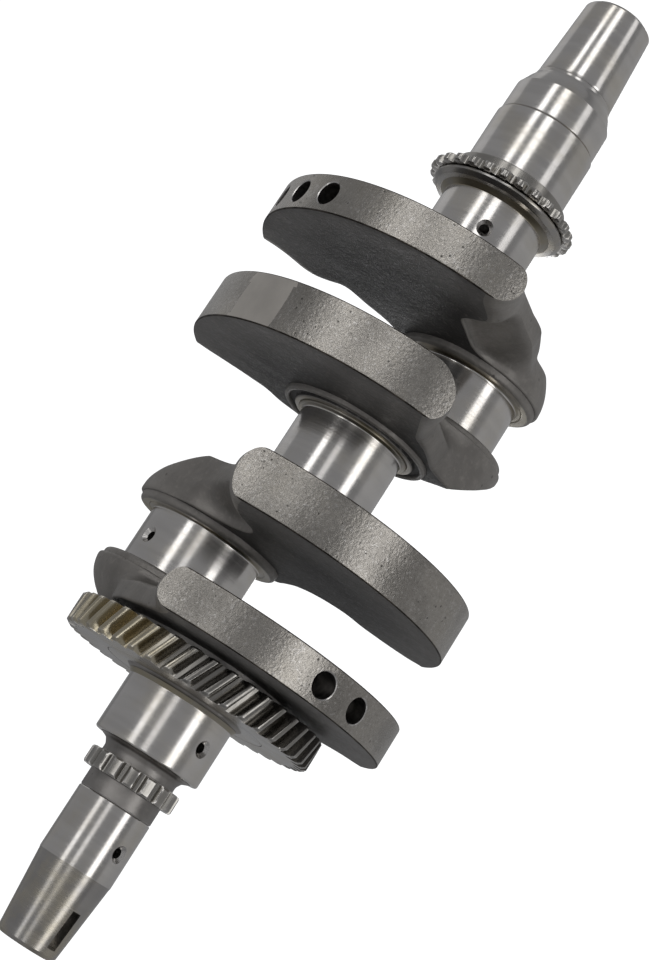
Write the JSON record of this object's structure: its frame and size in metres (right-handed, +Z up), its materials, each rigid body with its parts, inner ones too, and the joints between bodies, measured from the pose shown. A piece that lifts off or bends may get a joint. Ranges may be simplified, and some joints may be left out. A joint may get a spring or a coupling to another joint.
{
  "type": "crankshaft",
  "caption": "Forged crankshaft for a parallel twin: offset crankpins, counterweighted webs, ground journals, helical gear, chain sprockets and tapered ends.",
  "frame": {"origin": "on the main axis at the middle of the centre main journal", "axes": "+X along the main axis towards the clutch end, +Z up along the counterweights of webs 1 and 2, counterweights of webs 3 and 4 along -Y"},
  "size_m": [0.428, 0.1432, 0.1432],
  "materials": {
    "ground_steel": "ground and polished bearing steel",
    "turned_steel": "turned satin steel",
    "forged_steel": "forged and shot-blasted steel with fine pits",
    "hobbed_steel": "hobbed gear steel with a light straw tint",
    "plug_steel": "plain pressed steel"
  },
  "bodies": {
    "root": {"flywheel_taper": "ground_steel", "nose_journal": "ground_steel", "sprocket_seat": "turned_steel", "flywheel_main_journal": "ground_steel", "gear_boss": "turned_steel", "web_4": "forged_steel", "crankpin_2": "ground_steel", "web_3": "forged_steel", "centre_main_journal": "ground_steel", "web_2": "forged_steel", "crankpin_1": "ground_steel", "web_1": "forged_steel", "clutch_main_journal": "ground_steel", "thrust_collar": "turned_steel", "seal_journal": "ground_steel", "clutch_shoulder": "turned_steel", "clutch_taper": "ground_steel", "timing_sprocket": "hobbed_steel", "balancer_drive_gear": "hobbed_steel", "pump_drive_ring": "hobbed_steel", "gallery_plug": "plug_steel", "oil_plug_pin_1": "plug_steel", "oil_plug_pin_2": "plug_steel"}
  },
  "joints": []
}
